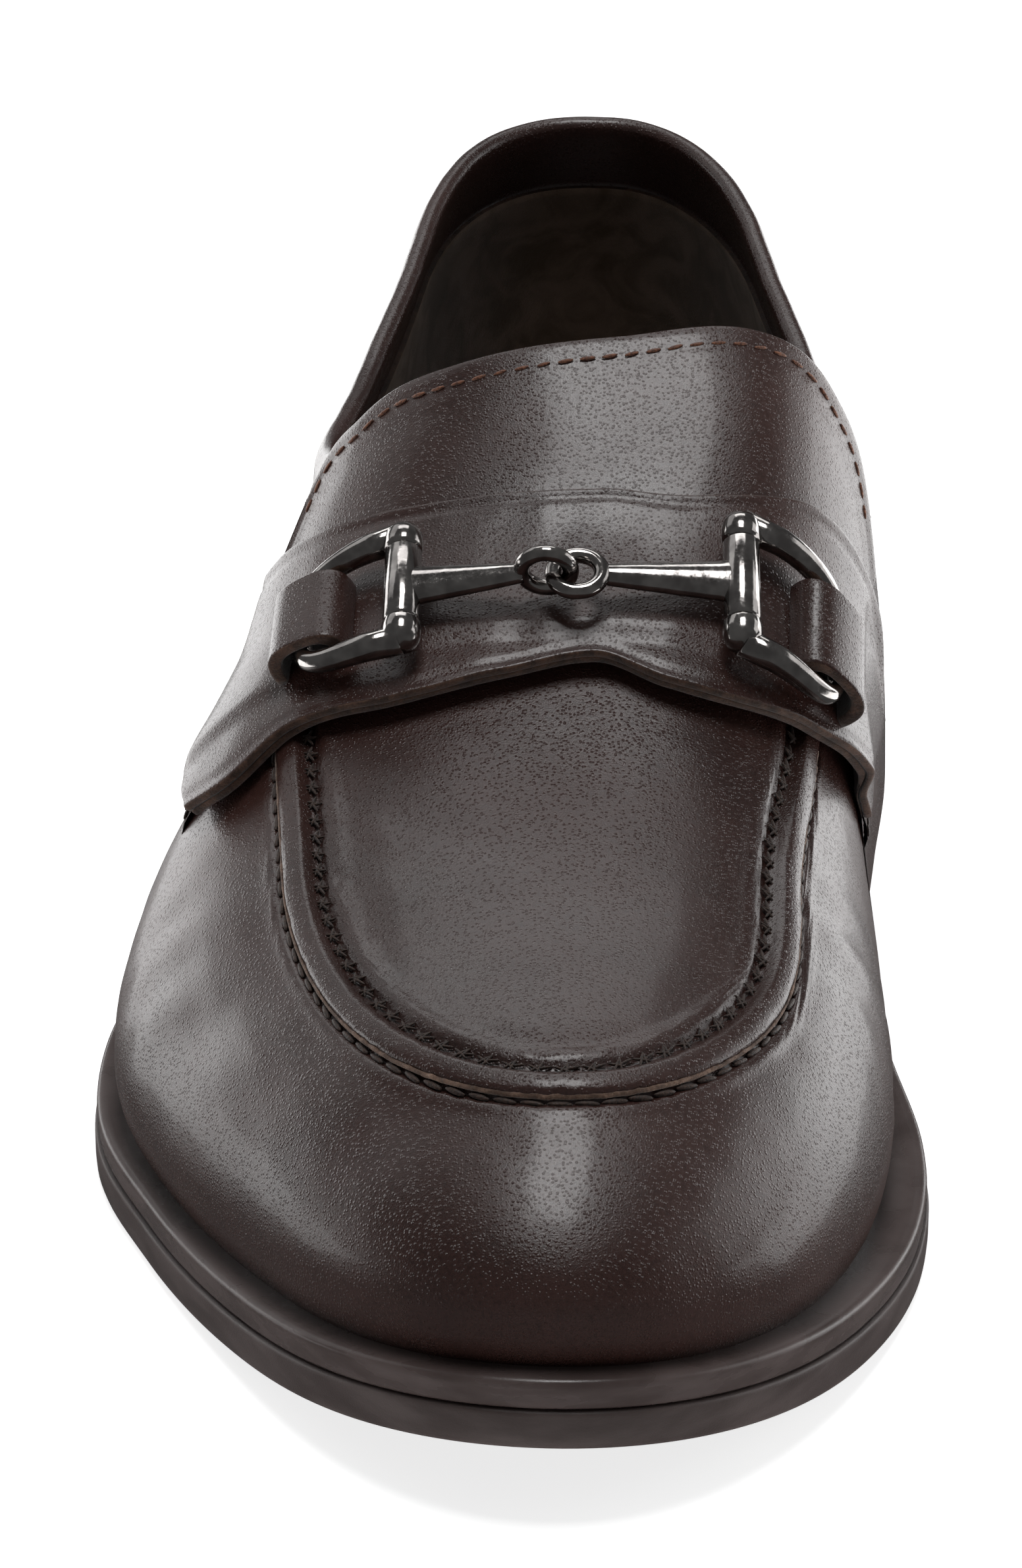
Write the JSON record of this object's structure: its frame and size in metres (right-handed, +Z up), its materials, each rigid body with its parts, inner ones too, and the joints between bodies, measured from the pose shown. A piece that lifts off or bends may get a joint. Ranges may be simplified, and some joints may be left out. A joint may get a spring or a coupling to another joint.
{
  "type": "bit loafer",
  "caption": "Right bit loafer in dark brown grained leather, with a saddle strap, a metal snaffle bit, a raised apron seam and a low rubber heel",
  "frame": {"origin": "centre of the shoe's bounding box, on the floor under the sole", "axes": "+Y to the heel, -Y to the toe, +X to the inner side of the foot, +Z up"},
  "size_m": [0.1132, 0.3, 0.0969],
  "materials": {
    "outsole_rubber": "matte",
    "midsole_rubber": "satin",
    "heel_rubber": "matte",
    "upper_leather": "semi_gloss",
    "insole_leather": "satin",
    "tongue_leather": "semi_gloss",
    "strap_leather": "semi_gloss",
    "keeper_leather": "semi_gloss",
    "bit_metal": "polished"
  },
  "bodies": {
    "root": {"outsole": "outsole_rubber", "midsole": "midsole_rubber", "heel": "heel_rubber", "upper": "upper_leather", "insole": "insole_leather", "tongue": "tongue_leather", "saddle_strap": "strap_leather", "keeper_lateral": "keeper_leather", "keeper_medial": "keeper_leather", "bit_ring_lateral": "bit_metal", "bit_ring_medial": "bit_metal", "bit_bar_lateral": "bit_metal", "bit_bar_medial": "bit_metal"}
  },
  "joints": []
}
